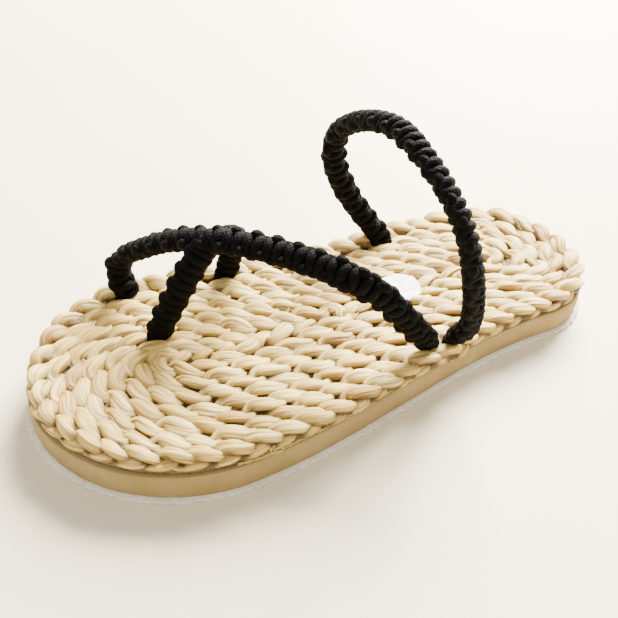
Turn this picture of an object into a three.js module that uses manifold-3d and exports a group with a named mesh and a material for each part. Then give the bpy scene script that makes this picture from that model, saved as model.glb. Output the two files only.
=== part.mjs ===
// Straw flip-flop for the left foot: a coiled straw braid on a foam slab with a thin
// rubber outsole, held on by knotted black cord straps. Millimetres, +X to the toe,
// +Y to the outer side of the foot, +Z up, the floor at z = 0.
import * as THREE from 'three';
import * as BufferGeometryUtils from 'three/addons/utils/BufferGeometryUtils.js';
import Module from 'manifold-3d';

const wasm = await Module();
wasm.setup();

// Sole outline. x runs from the heel tip, y from the line between heel tip and toe tip.
const SOLE_LENGTH = 245;
const HEEL = { innerX: 39, outerX: 33.6, innerY: -49.5, outerY: 27.1, tipY: -4.5, round: 2.24 };
const TOE = { innerX: 195.1, outerX: 183.4, innerY: -55.7, outerY: 51.3, tipY: -5.1, round: 1.91 };
const WAIST = { innerDip: 5.8, outerDip: 0.3 };

// Layers, from the floor up.
const OUTSOLE_TOP = 1.8;
const FOAM_TOP = 12.35;
const MAT_TOP = 19.4;
const OUTSOLE_PROUD = 0.9;
const OUTSOLE_RIPPLE = 0.35;
const OUTSOLE_POINTS = 96;
const FOAM_POINTS = 72;
const FOAM_EDGE_BULGE = 0.5;

// Straw braid. A row is one turn of the coil, a lobe is one strand showing on top of it.
const ROW_PITCH = 7.3;
const ROW_HALF_WIDTH = 3.45;
const ROW_ROOM = 3.3;
const LOBE_LENGTH = 10.8;
const LOBE_DIP = 1.1;
const LOBE_SLANT = 1.6;
const VALLEY_FLOOR = 16.7;
const ROW_ROOT = 15;
const ROW_COUNT = 7;
const RIM_LOBE_LENGTH = 10.8;

// Short straight rows where the coil leaves room along its middle, from one end to the
// other, and half the width of the room.
const MIDDLE_ROWS = [
    { start: [70, -9], end: [112, -3.9], half: 2.8 },
    { start: [136, -2], end: [157.5, -1.4], half: 3.2 },
];

// Knotted cord straps. A half knot is one bar across the face.
const STRAP_WIDTH = 13;
const STRAP_THICK = 9;
const HALF_KNOT = 4.15;
const KNOT_SWELL = 0.9;
const PINCH_THICK = 4.6;
const PINCH_LENGTH = 7.5;
const SPREAD_LENGTH = 10;
const SLOT_GAP = 0.35;
const SLOT_DEPTH_SPARE = 2;

// Corners of a strap's section, across its face and through its thickness, from -1 to 1.
const STRAP_SECTION = [
    [1, 0.4], [0.55, 1], [-0.55, 1], [-1, 0.4], [-1, -0.4], [-0.55, -1], [0.55, -1], [1, -0.4],
];

// Routes of the straps from root to root, and how wide each root is pinched. Each root
// stands in the groove between the outermost row and the next one.
const STRAPS = {
    instep: {
        roots: [11, 8],
        route: [
            [195.6, -48.6, FOAM_TOP], [195.6, -48.6, 20.5], [196.9, -52.2, 27.5], [194.8, -52, 34.8],
            [187.6, -45, 42.2], [177, -32, 51.8], [164.6, -16.5, 58.4], [151, -1, 60.6],
            [138.4, 13, 60], [127.8, 24.5, 57.2], [119.4, 28.8, 51.2], [112.6, 30.6, 43],
            [104.6, 31.4, 32.4], [97.4, 30.6, 23], [95.6, 29.6, 18], [95.6, 29.6, FOAM_TOP],
        ],
    },
    post: {
        roots: [12, 0],
        route: [
            [190.4, -18.6, FOAM_TOP], [190.4, -18.6, 20.5], [186.2, -17.6, 30.5],
            [180, -17.4, 41.5], [173, -19, 51], [167.5, -21, 56],
        ],
    },
    side: {
        roots: [0, 11],
        route: [
            [167, -19, 54.5], [160.5, -25.5, 52.6], [153.4, -34.5, 46.2], [149.4, -42.6, 37.4],
            [149.6, -46, 28], [153, -44.8, 20], [153.4, -44.6, FOAM_TOP],
        ],
    },
    ankle: {
        roots: [8, 11],
        route: [
            [86, 29.4, FOAM_TOP], [86, 29.6, 19.5], [84.6, 37, 30.5], [90.6, 43, 56],
            [94.3, 38, 76.8], [95.6, 27, 86.6], [97.4, 12, 94], [97.8, -7, 96.4], [100.6, -27, 90.4],
            [103.8, -41, 79.4], [102.6, -46, 64.2], [94, -47, 44.4], [83, -44.6, 27.6],
            [78, -40.8, 19.5], [77.8, -40.6, FOAM_TOP],
        ],
    },
};

const COLOURS = { rubber: 0xe9e4d6, foam: 0xcdb98a, straw: 0xe8d6b0, cord: 0x141312 };

// Quarter of a superellipse, from the widest point of an end to its tip.
function endQuarter(reach, sideY, tipY, round, steps) {
    const points = [];
    for (let i = 0; i <= steps; i += 1) {
        const angle = (i / steps) * Math.PI / 2;
        const x = reach * Math.sin(angle) ** (2 / round);
        const y = tipY + (sideY - tipY) * Math.cos(angle) ** (2 / round);
        points.push([x, y]);
    }
    return points;
}

// One long side of the outline from the heel to the forefoot, drawn in at the waist.
function longSide(x0, y0, x1, y1, dip, steps) {
    const points = [];
    for (let i = 1; i < steps; i += 1) {
        const t = i / steps;
        const ease = 3 * t * t - 2 * t * t * t;
        points.push([x0 + (x1 - x0) * t, y0 + (y1 - y0) * ease - dip * Math.sin(Math.PI * t) ** 2]);
    }
    return points;
}

// The whole outline, anticlockwise from the heel tip as seen from above.
function soleOutline() {
    const steps = 90;
    const heelInner = endQuarter(HEEL.innerX, HEEL.innerY, HEEL.tipY, HEEL.round, steps);
    const heelOuter = endQuarter(HEEL.outerX, HEEL.outerY, HEEL.tipY, HEEL.round, steps);
    const toeInner = endQuarter(SOLE_LENGTH - TOE.innerX, TOE.innerY, TOE.tipY, TOE.round, steps);
    const toeOuter = endQuarter(SOLE_LENGTH - TOE.outerX, TOE.outerY, TOE.tipY, TOE.round, steps);
    const inner = longSide(HEEL.innerX, HEEL.innerY, TOE.innerX, TOE.innerY, -WAIST.innerDip, steps);
    const outer = longSide(HEEL.outerX, HEEL.outerY, TOE.outerX, TOE.outerY, WAIST.outerDip, steps);
    return [
        ...heelInner.map(([x, y]) => [HEEL.innerX - x, y]).reverse(),
        ...inner,
        ...toeInner.map(([x, y]) => [TOE.innerX + x, y]),
        ...toeOuter.map(([x, y]) => [TOE.outerX + x, y]).reverse().slice(1),
        ...outer.reverse(),
        ...heelOuter.map(([x, y]) => [HEEL.outerX - x, y]).slice(0, -1),
    ];
}

function loopLength(loop) {
    let total = 0;
    loop.forEach(([x, y], i) => {
        const next = loop[(i + 1) % loop.length];
        total += Math.hypot(next[0] - x, next[1] - y);
    });
    return total;
}

// The same closed line with a given number of points, evenly spaced.
function respace(loop, count) {
    const step = loopLength(loop) / count;
    const points = [];
    let walked = 0;
    let wanted = 0;
    for (let i = 0; i < loop.length && points.length < count; i += 1) {
        const [x, y] = loop[i];
        const [nextX, nextY] = loop[(i + 1) % loop.length];
        const length = Math.hypot(nextX - x, nextY - y);
        while (wanted <= walked + length && points.length < count && length > 0) {
            const t = (wanted - walked) / length;
            points.push([x + (nextX - x) * t, y + (nextY - y) * t]);
            wanted += step;
        }
        walked += length;
    }
    return points;
}

// Unit normals of a closed anticlockwise line, pointing inwards.
function inwardNormals(loop) {
    const count = loop.length;
    return loop.map((_, i) => {
        const before = loop[(i + count - 1) % count];
        const after = loop[(i + 1) % count];
        const dx = after[0] - before[0];
        const dy = after[1] - before[1];
        const length = Math.hypot(dx, dy) || 1;
        return [-dy / length, dx / length];
    });
}

function shifted(loop, depth) {
    const normals = inwardNormals(loop);
    return loop.map(([x, y], i) => [x + normals[i][0] * depth, y + normals[i][1] * depth]);
}

function smoothed(loop, passes) {
    let result = loop;
    for (let pass = 0; pass < passes; pass += 1) {
        result = result.map(([x, y], i) => {
            const before = result[(i + result.length - 1) % result.length];
            const after = result[(i + 1) % result.length];
            return [(before[0] + 2 * x + after[0]) / 4, (before[1] + 2 * y + after[1]) / 4];
        });
    }
    return result;
}

const OUTLINE = respace(soleOutline(), 480);

function distanceToOutline([x, y]) {
    return Math.min(...OUTLINE.map(([ox, oy]) => Math.hypot(x - ox, y - oy)));
}

// A turn of the coil at a given depth from the edge. Turns that would crowd their own
// other side are closed off with a round end, as a maker folds the braid back.
function coilTurn(depth) {
    const deep = depth + ROW_ROOM;
    const kept = shifted(OUTLINE, deep).filter((point) => distanceToOutline(point) > deep - 0.15);
    if (kept.length < 12) {
        return [];
    }
    const core = smoothed(respace(kept, 240), 12);
    return smoothed(respace(shifted(core, -ROW_ROOM), 240), 6);
}

// A closed body from rings of points: each ring joins the next one.
function skin(rings, closed) {
    const size = rings[0].length;
    const positions = rings.flat(2);
    const faces = [];
    const last = closed ? rings.length : rings.length - 1;
    for (let i = 0; i < last; i += 1) {
        const here = i * size;
        const next = ((i + 1) % rings.length) * size;
        for (let j = 0; j < size; j += 1) {
            const k = (j + 1) % size;
            faces.push(here + j, here + k, next + k, here + j, next + k, next + j);
        }
    }
    if (!closed) {
        const end = (rings.length - 1) * size;
        for (let j = 1; j < size - 1; j += 1) {
            faces.push(0, j + 1, j, end, end + j, end + j + 1);
        }
    }
    const geometry = new THREE.BufferGeometry();
    geometry.setAttribute('position', new THREE.Float32BufferAttribute(positions, 3));
    geometry.setIndex(faces);
    return geometry;
}

function toSolid(geometry) {
    const bare = geometry.clone();
    bare.deleteAttribute('normal');
    bare.deleteAttribute('uv');
    const merged = BufferGeometryUtils.mergeVertices(bare, 1e-4);
    return new wasm.Manifold(new wasm.Mesh({
        numProp: 3,
        vertProperties: new Float32Array(merged.attributes.position.array),
        triVerts: new Uint32Array(merged.index.array),
    }));
}

function toGeometry(solid) {
    const mesh = solid.getMesh();
    const geometry = new THREE.BufferGeometry();
    geometry.setAttribute('position', new THREE.BufferAttribute(mesh.vertProperties, 3));
    geometry.setIndex(new THREE.BufferAttribute(mesh.triVerts, 1));
    return geometry;
}

// A slab between two heights with a slightly bulged edge.
function slab(loop, bottom, top, bulge) {
    const middle = (bottom + top) / 2;
    const levels = bulge > 0 ? [[bottom, 0], [middle, bulge], [top, 0]] : [[bottom, 0], [top, 0]];
    const rings = levels.map(([z, out]) => shifted(loop, -out).map(([x, y]) => [x, y, z]));
    const size = loop.length;
    const flat = loop.map(([x, y]) => new THREE.Vector2(x, y));
    const cap = THREE.ShapeUtils.triangulateShape(flat, []);
    const geometry = skin(rings, false);
    const sideFaces = Array.from(geometry.index.array).slice(0, (levels.length - 1) * size * 6);
    const end = (levels.length - 1) * size;
    const caps = cap.flatMap(([a, b, c]) => [a, c, b, end + a, end + b, end + c]);
    geometry.setIndex([...sideFaces, ...caps]);
    return geometry;
}

// The thin rubber sheet under the foam stands a little proud of it, with a rippled edge.
function outsoleShape() {
    const edge = respace(OUTLINE, OUTSOLE_POINTS);
    const normals = inwardNormals(edge);
    const rippled = edge.map(([x, y], i) => {
        const out = OUTSOLE_PROUD + (i % 2 === 0 ? OUTSOLE_RIPPLE : -OUTSOLE_RIPPLE);
        return [x - normals[i][0] * out, y - normals[i][1] * out];
    });
    return slab(rippled, 0, OUTSOLE_TOP, 0);
}

// Sections across one row of braid, one at each crest and one at each dip between lobes.
// Each profile point is [across, height, how far it leans along the row].
function rowSections(loop, lobeLength, crest, dip) {
    const count = 2 * Math.round(loopLength(loop) / lobeLength);
    const centres = respace(loop, count);
    const normals = inwardNormals(centres);
    return centres.map(([x, y], i) => {
        const [nx, ny] = normals[i];
        const profile = i % 2 === 0 ? crest : dip;
        return profile.map(([across, z, lean]) => [
            x + nx * across + ny * lean,
            y + ny * across - nx * lean,
            z,
        ]);
    });
}

// An inner row: a low ridge whose strands lie slantwise across it.
function innerRow(loop) {
    const half = ROW_HALF_WIDTH;
    const crest = [
        [-half, ROW_ROOT, 0], [half, ROW_ROOT, 0],
        [half * 0.55, MAT_TOP - 0.3, -LOBE_SLANT], [-half * 0.55, MAT_TOP, LOBE_SLANT],
    ];
    const dip = [
        [-half, ROW_ROOT, 0], [half, ROW_ROOT, 0],
        [half * 0.55, MAT_TOP - LOBE_DIP, -LOBE_SLANT], [-half * 0.55, MAT_TOP - LOBE_DIP, LOBE_SLANT],
    ];
    return skin(rowSections(loop, LOBE_LENGTH, crest, dip), true);
}

// The outermost row is tipped on its side and makes the rim of the mat.
function rimRow(loop) {
    const half = ROW_HALF_WIDTH;
    const profile = (out, drop) => [
        [-half + 0.5, FOAM_TOP, 0], [half, FOAM_TOP, 0], [half, MAT_TOP - 2.4 - drop, -LOBE_SLANT],
        [half * 0.3, MAT_TOP - drop, 0], [-half * 0.5, MAT_TOP - 0.5 - drop, LOBE_SLANT],
        [-half - out, MAT_TOP - 3.2, LOBE_SLANT], [-half - out * 0.7, FOAM_TOP + 1.6, 0],
    ];
    return skin(rowSections(loop, RIM_LOBE_LENGTH, profile(0.7, 0), profile(-0.5, 0.8)), true);
}

// A short straight row that fills the middle of the coil where no full turn fits.
function middleRow({ start, end, half }) {
    const [x0, y0] = start;
    const [x1, y1] = end;
    const length = Math.hypot(x1 - x0, y1 - y0);
    const along = [(x1 - x0) / length, (y1 - y0) / length];
    const count = 2 * Math.round(length / LOBE_LENGTH);
    const rings = [];
    for (let i = 0; i <= count; i += 1) {
        const t = (i / count) * length;
        const top = i % 2 === 0 ? MAT_TOP - LOBE_DIP : MAT_TOP;
        const place = (across, z, lean) => [
            x0 + along[0] * (t + lean) - along[1] * across,
            y0 + along[1] * (t + lean) + along[0] * across,
            z,
        ];
        rings.push([
            place(-half, ROW_ROOT, 0), place(half, ROW_ROOT, 0),
            place(half * 0.55, top, -LOBE_SLANT), place(-half * 0.55, top, LOBE_SLANT),
        ]);
    }
    return skin(rings, false);
}

// Stations along a strap, one for each half knot, with its width there.
function strapStations(strap) {
    const curve = new THREE.CatmullRomCurve3(
        strap.route.map(([x, y, z]) => new THREE.Vector3(x, y, z)), false, 'centripetal',
    );
    curve.arcLengthDivisions = 400;
    const length = curve.getLength();
    const count = Math.round(length / HALF_KNOT);
    const spread = (root, distance) => {
        if (root === 0) {
            return [STRAP_WIDTH, STRAP_THICK];
        }
        const t = THREE.MathUtils.smoothstep(distance, PINCH_LENGTH, PINCH_LENGTH + SPREAD_LENGTH);
        return [
            THREE.MathUtils.lerp(root, STRAP_WIDTH, t),
            THREE.MathUtils.lerp(PINCH_THICK, STRAP_THICK, t),
        ];
    };
    const stations = [];
    for (let i = 0; i <= count; i += 1) {
        const u = i / count;
        const tangent = curve.getTangentAt(u);
        if (i <= 1 && strap.roots[0] > 0) {
            tangent.set(0, 0, 1);
        }
        if (i >= count - 1 && strap.roots[1] > 0) {
            tangent.set(0, 0, -1);
        }
        const [startWidth, startThick] = spread(strap.roots[0], u * length);
        const [endWidth, endThick] = spread(strap.roots[1], (1 - u) * length);
        stations.push({
            centre: curve.getPointAt(u),
            tangent,
            width: Math.min(startWidth, endWidth),
            thick: Math.min(startThick, endThick),
        });
    }
    return stations;
}

// The body of a strap. Its face lies across the foot and its edges swell at each knot,
// left and right in turn. Grown by a gap it is the tool that cuts its slot in the mat.
function strapShape(strap, grow) {
    const stations = strapStations(strap);
    const last = stations.length - 1;
    const lengthwise = new THREE.Vector3(1, 0, 0);
    const rings = stations.map(({ centre, tangent, width, thick }, i) => {
        const side = lengthwise.clone().addScaledVector(tangent, -lengthwise.dot(tangent)).normalize();
        const face = new THREE.Vector3().crossVectors(tangent, side);
        const middle = centre.clone();
        if (grow > 0 && (i === 0 || i === last)) {
            middle.z -= SLOT_DEPTH_SPARE;
        }
        const swell = grow > 0 ? 0 : KNOT_SWELL * (i % 2 === 0 ? 1 : -1);
        const full = width >= STRAP_WIDTH - 1 ? 1 : 0;
        const halfWidth = width / 2 + grow + (grow > 0 ? KNOT_SWELL * full : 0);
        const halfThick = thick / 2 + grow;
        return STRAP_SECTION.map(([a, b]) => {
            const across = a * halfWidth + full * swell * Math.abs(a);
            return middle.clone().addScaledVector(side, across).addScaledVector(face, b * halfThick).toArray();
        });
    });
    return skin(rings, false);
}

function strawMat() {
    const core = slab(respace(shifted(OUTLINE, ROW_HALF_WIDTH), FOAM_POINTS), FOAM_TOP, VALLEY_FLOOR, 0);
    let mat = toSolid(core);
    for (let row = 0; row < ROW_COUNT; row += 1) {
        const turn = coilTurn(ROW_PITCH * (row + 0.5));
        if (turn.length > 0) {
            mat = mat.add(toSolid(row === 0 ? rimRow(turn) : innerRow(turn)));
        }
    }
    MIDDLE_ROWS.forEach((row) => {
        mat = mat.add(toSolid(middleRow(row)));
    });
    Object.values(STRAPS).forEach((strap) => {
        mat = mat.subtract(toSolid(strapShape(strap, SLOT_GAP)));
    });
    return toGeometry(mat);
}

function toeStraps() {
    const joined = toSolid(strapShape(STRAPS.instep, 0))
        .add(toSolid(strapShape(STRAPS.post, 0)))
        .add(toSolid(strapShape(STRAPS.side, 0)));
    return toGeometry(joined);
}

const sandal = new THREE.Group();

function addPiece(name, geometry, colour, roughness) {
    geometry.computeVertexNormals();
    const material = new THREE.MeshStandardMaterial({ color: colour, roughness, metalness: 0 });
    const mesh = new THREE.Mesh(geometry, material);
    mesh.name = name;
    sandal.add(mesh);
}

addPiece('outsole', outsoleShape(), COLOURS.rubber, 0.8);
addPiece('midsole', slab(respace(OUTLINE, FOAM_POINTS), OUTSOLE_TOP, FOAM_TOP, FOAM_EDGE_BULGE), COLOURS.foam, 0.75);
addPiece('straw_mat', strawMat(), COLOURS.straw, 0.6);
addPiece('toe_straps', toeStraps(), COLOURS.cord, 0.7);
addPiece('ankle_strap', strapShape(STRAPS.ankle, 0), COLOURS.cord, 0.7);

// The origin is on the floor under the middle of the sandal's box, straps included.
const box = new THREE.Box3().setFromObject(sandal);
sandal.position.set(-(box.min.x + box.max.x) / 2, -(box.min.y + box.max.y) / 2, 0);
const group = new THREE.Group();
group.add(sandal);

export default group;
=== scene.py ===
import math
import random

import bmesh
import bpy
import numpy as np
from mathutils import Matrix, Vector


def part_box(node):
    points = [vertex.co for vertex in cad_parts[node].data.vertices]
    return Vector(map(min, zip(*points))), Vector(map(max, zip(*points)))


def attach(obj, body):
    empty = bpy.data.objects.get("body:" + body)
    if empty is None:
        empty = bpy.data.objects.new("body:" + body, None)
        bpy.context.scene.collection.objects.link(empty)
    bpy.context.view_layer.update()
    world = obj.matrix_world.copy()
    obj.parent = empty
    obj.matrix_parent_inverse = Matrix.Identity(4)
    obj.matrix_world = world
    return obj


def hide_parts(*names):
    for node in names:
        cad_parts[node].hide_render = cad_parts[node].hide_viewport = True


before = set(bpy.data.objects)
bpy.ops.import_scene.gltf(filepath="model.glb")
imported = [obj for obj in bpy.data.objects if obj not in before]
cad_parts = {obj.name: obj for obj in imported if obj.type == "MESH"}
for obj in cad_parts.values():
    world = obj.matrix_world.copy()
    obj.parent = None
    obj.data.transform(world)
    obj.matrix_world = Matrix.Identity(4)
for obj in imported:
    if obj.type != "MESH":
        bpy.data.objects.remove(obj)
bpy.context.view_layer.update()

mm = 0.001
scene = bpy.context.scene


# Camera: standing on the outer side of the foot, level with the tip of the toe, looking down
# over the forefoot to the inner side. It aims at the middle of the sandal as it sees it.
camera_place = Vector((124.74, 224.62, 236.9)) * mm
camera_aim = Vector((7.52, -6.59, 19.4)) * mm
camera_roll = math.radians(2.445)
camera_data = bpy.data.cameras.new("camera")
camera_data.lens = 47.73
camera_data.sensor_width = 36
camera_data.clip_start = 0.01
camera = bpy.data.objects.new("camera", camera_data)
scene.collection.objects.link(camera)
look = (camera_aim - camera_place).to_track_quat("-Z", "Y").to_matrix().to_4x4()
camera.matrix_world = Matrix.Translation(camera_place) @ look @ Matrix.Rotation(camera_roll, 4, "Z")
scene.camera = camera


# Floor: a plain pale board, painted matt and far larger than the sandal. The room around it
# is pale too, and low sun comes in from behind the heel, on the inner side of the foot.
def new_finish(name, roughness):
    """A material, its node tree and its shader, as rough all over as it is told."""
    finish = bpy.data.materials.new(name)
    finish.use_nodes = True
    shader = finish.node_tree.nodes["Principled BSDF"]
    shader.inputs["Roughness"].default_value = roughness
    return finish, finish.node_tree, shader


def linked(tree, kind, inputs, **settings):
    """A new node, each of its inputs linked to another's output or set to a value."""
    node = tree.nodes.new(kind)
    for name, value in settings.items():
        setattr(node, name, value)
    for socket, value in inputs.items():
        if isinstance(value, bpy.types.NodeSocket):
            tree.links.new(value, node.inputs[socket])
        else:
            node.inputs[socket].default_value = value
    return node


def place_on_piece(tree):
    return linked(tree, "ShaderNodeTexCoord", {}).outputs["Object"]


def mottle(tree, place, scale, detail, roughness=0.5):
    inputs = {"Vector": place, "Scale": scale, "Detail": detail, "Roughness": roughness}
    return linked(tree, "ShaderNodeTexNoise", inputs).outputs["Fac"]


def tones(tree, source, *stops):
    """Colours read from a value, each stop a value and its colour."""
    node = linked(tree, "ShaderNodeValToRGB", {"Fac": source})
    first, *between, last = stops
    for element, (position, colour) in zip(node.color_ramp.elements, (first, last)):
        element.position = position
        element.color = (*colour, 1)
    for position, colour in between:
        node.color_ramp.elements.new(position).color = (*colour, 1)
    return node.outputs["Color"]


def mixed(tree, amount, first, second, kind="MIX"):
    inputs = {0: amount, 6: first, 7: second}
    return linked(tree, "ShaderNodeMix", inputs, data_type="RGBA", blend_type=kind).outputs[2]


def finished(tree, shader, colour, height, strength, depth):
    """Gives the shader its colour, and a fine relief that follows the height."""
    tree.links.new(colour, shader.inputs["Base Color"])
    relief = linked(tree, "ShaderNodeBump", {"Height": height, "Strength": strength, "Distance": depth})
    tree.links.new(relief.outputs[0], shader.inputs["Normal"])


def as_mesh(name, shape):
    mesh = bpy.data.meshes.new(name)
    shape.to_mesh(mesh)
    shape.free()
    return mesh


floor_reach = 3.0
board = bmesh.new()
bmesh.ops.create_grid(board, x_segments=1, y_segments=1, size=floor_reach)
floor = bpy.data.objects.new("floor", as_mesh("floor", board))
scene.collection.objects.link(floor)
floor_paint, floor_tree, floor_shader = new_finish("floor_paint", 0.6)
floor.data.materials.append(floor_paint)
floor_mottle = mottle(floor_tree, place_on_piece(floor_tree), scale=9.0, detail=5.0)
floor_tone = tones(floor_tree, floor_mottle, (0.3, (0.90, 0.80, 0.57)), (0.7, (0.93, 0.84, 0.62)))
finished(floor_tree, floor_shader, floor_tone, floor_mottle, strength=0.15, depth=0.001)

room_colour = (1.0, 0.975, 0.94)
room_brightness = 0.86
room = bpy.data.worlds.new("room")
room.use_nodes = True
room.node_tree.nodes["Background"].inputs["Color"].default_value = (*room_colour, 1)
room.node_tree.nodes["Background"].inputs["Strength"].default_value = room_brightness
scene.world = room


def soft_light(name, place, size, power, colour):
    """A square lamp that faces the sandal."""
    data = bpy.data.lights.new(name, "AREA")
    data.shape = "SQUARE"
    data.size = size
    data.energy = power
    data.color = colour
    light = bpy.data.objects.new(name, data)
    scene.collection.objects.link(light)
    turn = (-Vector(place)).to_track_quat("-Z", "Y").to_matrix().to_4x4()
    light.matrix_world = Matrix.Translation(place) @ turn


soft_light("window_light", (-0.80, -0.75, 0.80), size=0.8, power=212.0, colour=(1.0, 0.965, 0.88))
soft_light("room_light", (0.55, 0.75, 0.95), size=1.2, power=4.0, colour=(1.0, 0.95, 0.88))


# Outsole: a thin sheet of pale rubber, glued under the foam and cut round it with shears,
# so that its edge stands a little proud of the foam and is rippled and frayed. Its outline
# is the last's, heel tip at X = 0, the inner side of the foot at -Y and the outer at +Y.
sole_length = 245.0
heel = {"inner_x": 39.0, "outer_x": 33.6, "inner_y": -49.5, "outer_y": 27.1, "tip_y": -4.5, "round": 2.24}
toe = {"inner_x": 195.1, "outer_x": 183.4, "inner_y": -55.7, "outer_y": 51.3, "tip_y": -5.1, "round": 1.91}
waist = {"inner_dip": 5.8, "outer_dip": 0.3}
curve_steps = 91
outline_steps = 720


def end_quarter(reach, side_y, tip_y, roundness):
    """A quarter of a rounded end, from its side to its tip."""
    turn = np.linspace(0, np.pi / 2, curve_steps)
    along = reach * np.sin(turn) ** (2 / roundness)
    across = tip_y + (side_y - tip_y) * np.maximum(np.cos(turn), 0) ** (2 / roundness)
    return along, across


def long_side(x0, y0, x1, y1, dip):
    """A side from heel to forefoot, drawn in at the waist."""
    t = np.linspace(0, 1, curve_steps)[1:-1]
    ease = 3 * t ** 2 - 2 * t ** 3
    return np.column_stack((x0 + (x1 - x0) * t, y0 + (y1 - y0) * ease - dip * np.sin(np.pi * t) ** 2))


def sole_outline():
    """The whole outline, from the heel tip along the inner side and back along the outer."""
    x, y = end_quarter(heel["inner_x"], heel["inner_y"], heel["tip_y"], heel["round"])
    heel_inner = np.column_stack((heel["inner_x"] - x, y))[::-1]
    x, y = end_quarter(heel["outer_x"], heel["outer_y"], heel["tip_y"], heel["round"])
    heel_outer = np.column_stack((heel["outer_x"] - x, y))[:-1]
    x, y = end_quarter(sole_length - toe["inner_x"], toe["inner_y"], toe["tip_y"], toe["round"])
    toe_inner = np.column_stack((toe["inner_x"] + x, y))
    x, y = end_quarter(sole_length - toe["outer_x"], toe["outer_y"], toe["tip_y"], toe["round"])
    toe_outer = np.column_stack((toe["outer_x"] + x, y))[::-1][1:]
    inner = long_side(heel["inner_x"], heel["inner_y"], toe["inner_x"], toe["inner_y"], -waist["inner_dip"])
    outer = long_side(heel["outer_x"], heel["outer_y"], toe["outer_x"], toe["outer_y"], waist["outer_dip"])
    return np.vstack((heel_inner, inner, toe_inner, toe_outer, outer[::-1], heel_outer))


def respace(loop, count):
    """The same closed loop, with its points spaced evenly."""
    closed = np.vstack((loop, loop[:1]))
    lengths = np.hypot(*np.diff(closed, axis=0).T)
    walked = np.concatenate(([0], np.cumsum(lengths)))
    wanted = np.arange(count) * walked[-1] / count
    return np.column_stack([np.interp(wanted, walked, closed[:, i]) for i in (0, 1)])


def inward(loop):
    """At each point of a loop, the level direction to its inside."""
    run = np.roll(loop, -1, 0) - np.roll(loop, 1, 0)
    run = run / np.maximum(np.hypot(*run.T), 1e-9)[:, None]
    return np.column_stack((-run[:, 1], run[:, 0]))


outline = respace(sole_outline(), outline_steps)
foam_low, foam_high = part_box("midsole")
foam_middle = (Vector(foam_low) + Vector(foam_high)) / 2 / mm
outline_middle = (outline.min(axis=0) + outline.max(axis=0)) / 2
to_frame = np.array([foam_middle.x - outline_middle[0], foam_middle.y - outline_middle[1], 0])


def in_frame(points):
    return (points + to_frame) * mm


def ring_at(loop, out, z):
    """The loop pushed outwards by a distance, at a height."""
    pushed = loop - inward(loop) * np.broadcast_to(out, len(loop))[:, None]
    return np.column_stack((pushed, np.broadcast_to(z, len(loop))))


def extruded_rim(sheet, rim):
    """Extrudes the rim of a sheet, and gives the new rim in the same order."""
    edges = [sheet.edges.get((rim[i - 1], rim[i])) for i in range(len(rim))]
    fresh = set(bmesh.ops.extrude_edge_only(sheet, edges=edges)["geom"])
    ends = ([edge.other_vert(vert) for edge in vert.link_edges] for vert in rim)
    return [next(end for end in around if end in fresh) for around in ends]


def corner_order(part):
    """A number of its own for each edge or face, which puts them in the same order each run."""
    corners = [vert.index for vert in part.verts]
    return max(corners) * 1e6 + min(corners)


def sheet_through(name, rings):
    """A closed sheet or slab: a flat face whose edge is drawn out to each ring in turn."""
    sheet = bmesh.new()
    rim = [sheet.verts.new(point) for point in in_frame(rings[0])]
    sheet.faces.new(rim)
    for ring in rings[1:]:
        rim = extruded_rim(sheet, rim)
        for vert, point in zip(rim, in_frame(ring)):
            vert.co = point
    sheet.faces.new(rim)
    sheet.verts.index_update()
    sheet.edges.sort(key=corner_order)
    sheet.faces.sort(key=corner_order)
    bmesh.ops.recalc_face_normals(sheet, faces=sheet.faces)
    for face in sheet.faces:
        face.smooth = True
    return as_mesh(name, sheet)


def as_piece(name, mesh, finish, slot_name, *replaced):
    piece = bpy.data.objects.new(name, mesh)
    scene.collection.objects.link(piece)
    mesh.materials.append(finish)
    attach(piece, "root")
    if replaced:
        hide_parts(*replaced)


def waves(count, cycles, seed, height=1.0):
    """Chance waves round a loop, each with so many cycles and its own start and share."""
    draw = random.Random(seed)
    turn = np.arange(count) * 2 * np.pi / count
    total = np.zeros(count)
    for cycle in cycles:
        total += np.sin(cycle * turn + draw.uniform(0, 2 * np.pi)) * draw.uniform(0.6, 1)
    return total / len(cycles) * height


outsole_rubber, rubber_tree, rubber_shader = new_finish("outsole_rubber", 0.7)
rubber_place = place_on_piece(rubber_tree)
rubber_grain = mottle(rubber_tree, rubber_place, scale=700.0, detail=4.0)
rubber_dust = mottle(rubber_tree, rubber_place, scale=45.0, detail=3.0)
rubber_clean = tones(rubber_tree, rubber_grain, (0.3, (0.82, 0.76, 0.62)), (0.62, (0.95, 0.91, 0.80)))
rubber_marks = tones(rubber_tree, rubber_dust, (0.35, (0.90, 0.84, 0.72)), (0.6, (1.0, 1.0, 1.0)))
rubber_tone = mixed(rubber_tree, 0.8, rubber_clean, rubber_marks, "MULTIPLY")
finished(rubber_tree, rubber_shader, rubber_tone, rubber_grain, strength=0.5, depth=0.0003)

outsole_top = 1.8
rib_room = 0.35
edge_steps = 1440
edge_proud = 2.1
edge_lift = 0.25
burr_length = 3.0
burr_rarity = 0.45
edge = respace(outline, edge_steps)
ripple = waves(edge_steps, (7, 13, 22, 31), seed=3, height=0.45)
fray = waves(edge_steps, (90, 127, 171, 233), seed=4, height=0.75)
burrs = np.maximum(waves(edge_steps, (61, 97, 149, 310), seed=6) - burr_rarity, 0) * burr_length
lift = np.maximum(waves(edge_steps, (19, 37, 56, 81), seed=5, height=0.9) + edge_lift, 0)
proud = edge_proud + (ripple + fray) + burrs
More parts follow.
